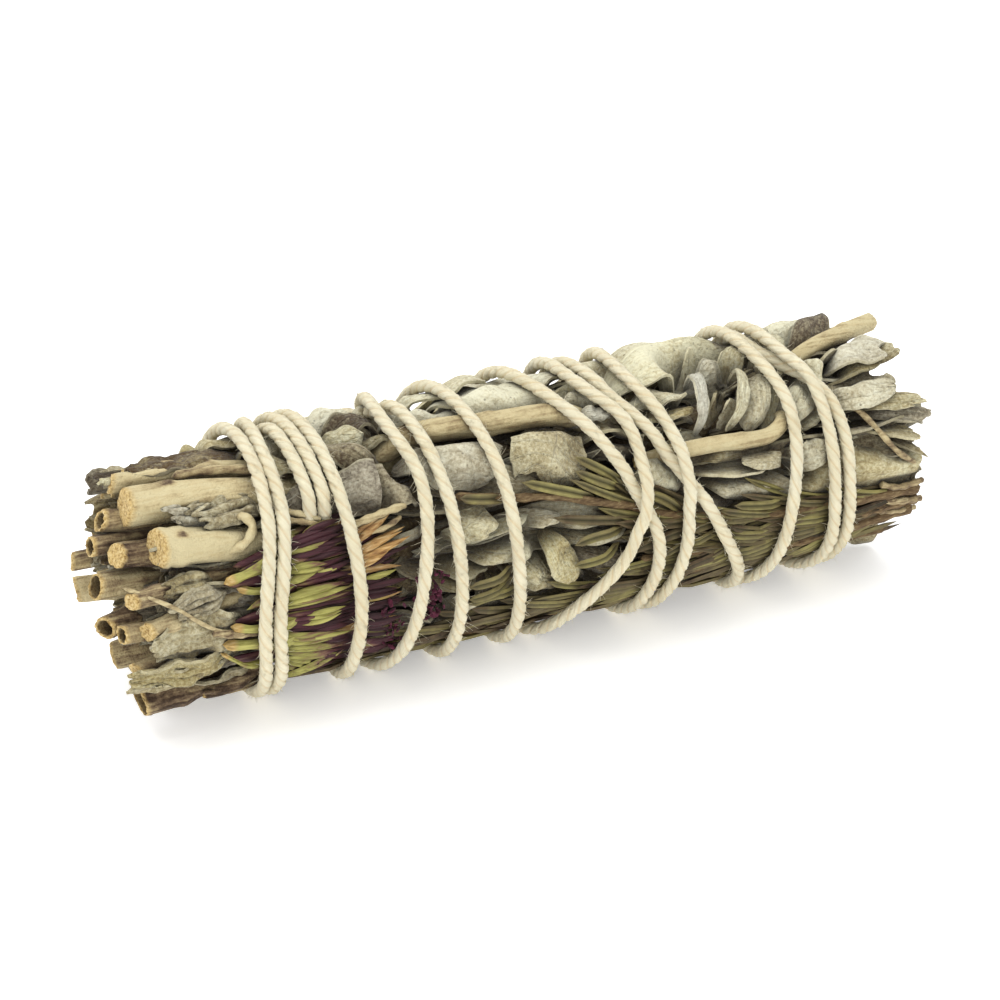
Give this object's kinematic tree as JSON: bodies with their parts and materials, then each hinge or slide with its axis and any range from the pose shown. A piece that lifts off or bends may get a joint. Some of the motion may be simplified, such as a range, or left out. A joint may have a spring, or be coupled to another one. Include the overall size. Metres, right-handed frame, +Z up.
{
  "type": "sage bunch",
  "caption": "Bunch of dried sage stems and leaves with rosemary sprigs and dried flower heads, bound from end to end by a spiral of cotton twine; lies on its side.",
  "frame": {"origin": "on the surface that the bunch lies on, under the middle of its length", "axes": "+X along the bunch towards the leaf tips, with the cut stems at -X; +Z up; -Y is the side with the flower heads"},
  "size_m": [0.116, 0.0359, 0.0347],
  "materials": {
    "dried_sage": "velvety pale grey-green to khaki dried leaf, pale tan stem",
    "rosemary": "matte olive-green needle, red-brown twig",
    "dried_flower": "papery, yellow-green base and dark purple petals",
    "cotton_twine": "natural cream cotton, three-ply, slightly fuzzy"
  },
  "bodies": {
    "root": {"twine": "cotton_twine", "flower_head_1": "dried_flower", "flower_head_2": "dried_flower", "flower_head_3": "dried_flower", "flower_head_4": "dried_flower", "flower_head_5": "dried_flower", "rosemary_sprig_1": "rosemary", "rosemary_sprig_2": "rosemary", "rosemary_sprig_3": "rosemary", "rosemary_sprig_4": "rosemary", "sage_sprig_1": "dried_sage", "sage_sprig_2": "dried_sage", "sage_sprig_3": "dried_sage", "sage_sprig_4": "dried_sage", "sage_sprig_5": "dried_sage", "sage_sprig_6": "dried_sage", "sage_sprig_7": "dried_sage", "sage_sprig_8": "dried_sage", "sage_sprig_9": "dried_sage", "sage_sprig_10": "dried_sage", "sage_sprig_11": "dried_sage", "sage_sprig_12": "dried_sage"}
  },
  "joints": []
}
